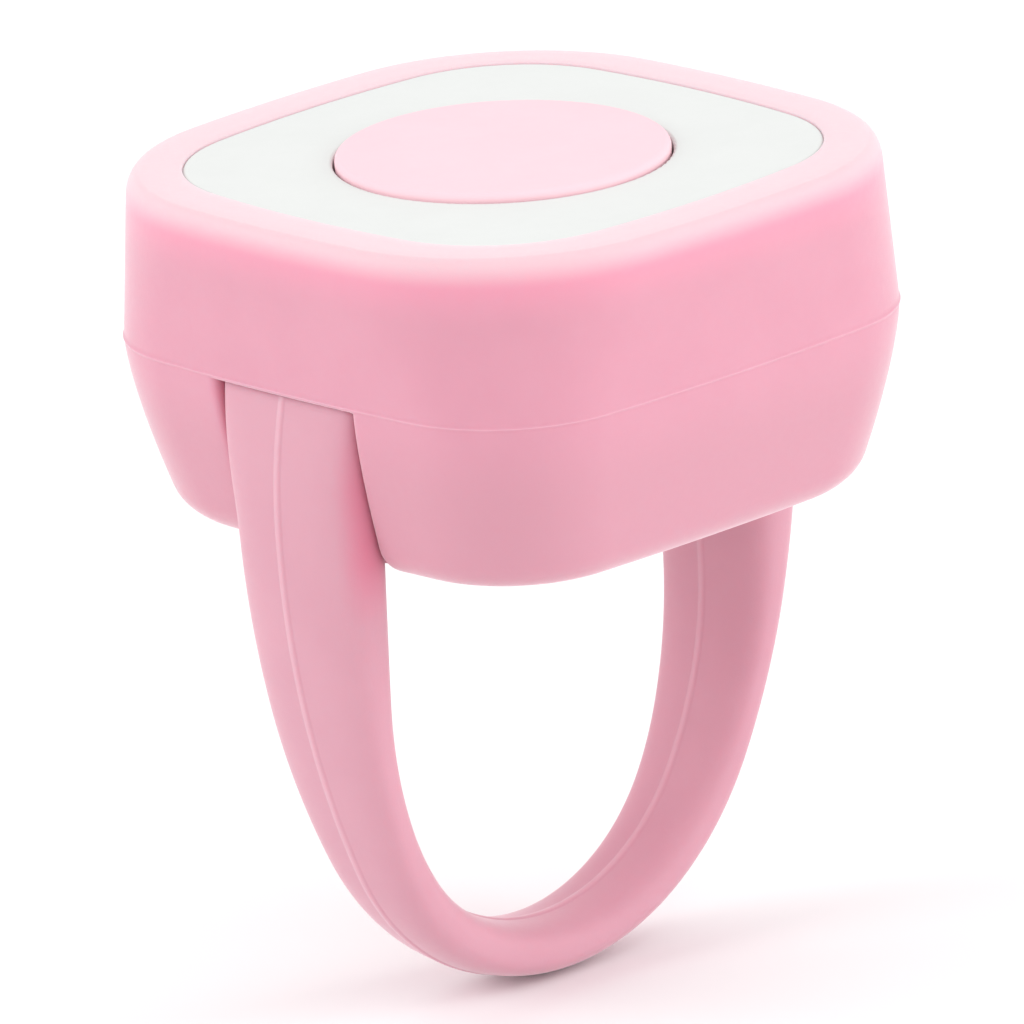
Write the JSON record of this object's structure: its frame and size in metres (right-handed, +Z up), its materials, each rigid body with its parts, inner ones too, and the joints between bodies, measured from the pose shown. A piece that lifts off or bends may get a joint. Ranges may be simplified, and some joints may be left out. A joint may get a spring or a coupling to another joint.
{
  "type": "clicker trainer",
  "caption": "Finger-worn training clicker: a soft pink square body with a push button on top and an elastic loop that grips the finger below.",
  "frame": {"origin": "centre of the round seat that holds the finger, at the bottom of the elastic loop", "axes": "+Z up from the finger to the button, +Y along the finger; the loop's legs rise on the -X and +X sides"},
  "size_m": [0.0302, 0.0298, 0.0384],
  "materials": {
    "pink_silicone": "matte",
    "white_plastic": "satin",
    "pink_plastic": "satin",
    "case_plastic": "matte",
    "spring_steel": "brushed",
    "screw_steel": "satin"
  },
  "bodies": {
    "housing": {"silicone_sleeve": "pink_silicone", "finger_ring": "pink_silicone", "face_plate": "white_plastic", "lower_case": "case_plastic", "click_plate": "spring_steel", "clamp_bar": "spring_steel", "clamp_screws": "screw_steel", "case_screws": "screw_steel"},
    "button": {"button_cap": "pink_plastic"}
  },
  "joints": [
    {"name": "button_press", "type": "slide", "parent": "housing", "child": "button", "axis": [0, 0, -1], "range_m": [0, 0.0009], "stiffness_N_per_m": 3500, "deforming": ["click_plate"]}
  ]
}
